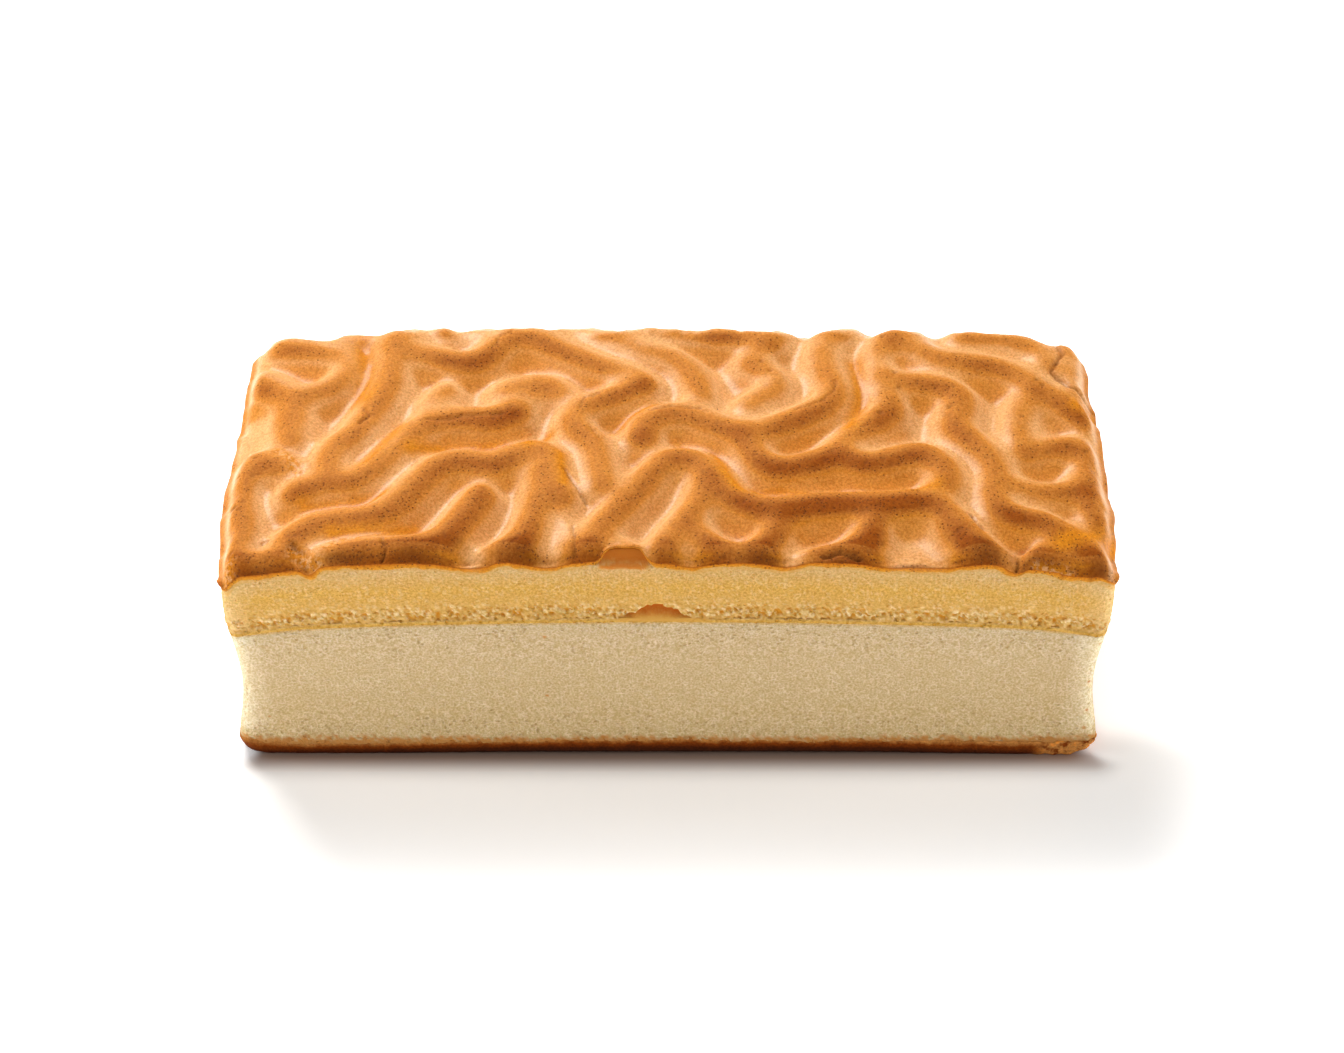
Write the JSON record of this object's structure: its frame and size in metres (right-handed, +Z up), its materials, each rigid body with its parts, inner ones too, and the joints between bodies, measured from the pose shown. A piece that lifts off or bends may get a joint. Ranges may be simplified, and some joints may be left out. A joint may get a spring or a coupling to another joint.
{
  "type": "tiger skin cake",
  "caption": "Bar of pale sponge on a browned crust, with a yellow filling line and a golden yolk sheet whose wrinkled skin has tiger stripes.",
  "frame": {"origin": "on the table under the middle of the bar: the centre of the bottom of its box", "axes": "+X along the long side, +Y from the cut long side that shows to the one behind, +Z up through the layers"},
  "size_m": [0.1526, 0.062, 0.0489],
  "materials": {
    "sponge": "matte",
    "filling": "satin",
    "yolk_sheet": "satin"
  },
  "bodies": {
    "root": {"sponge": "sponge", "filling": "filling", "yolk_sheet": "yolk_sheet"}
  },
  "joints": []
}
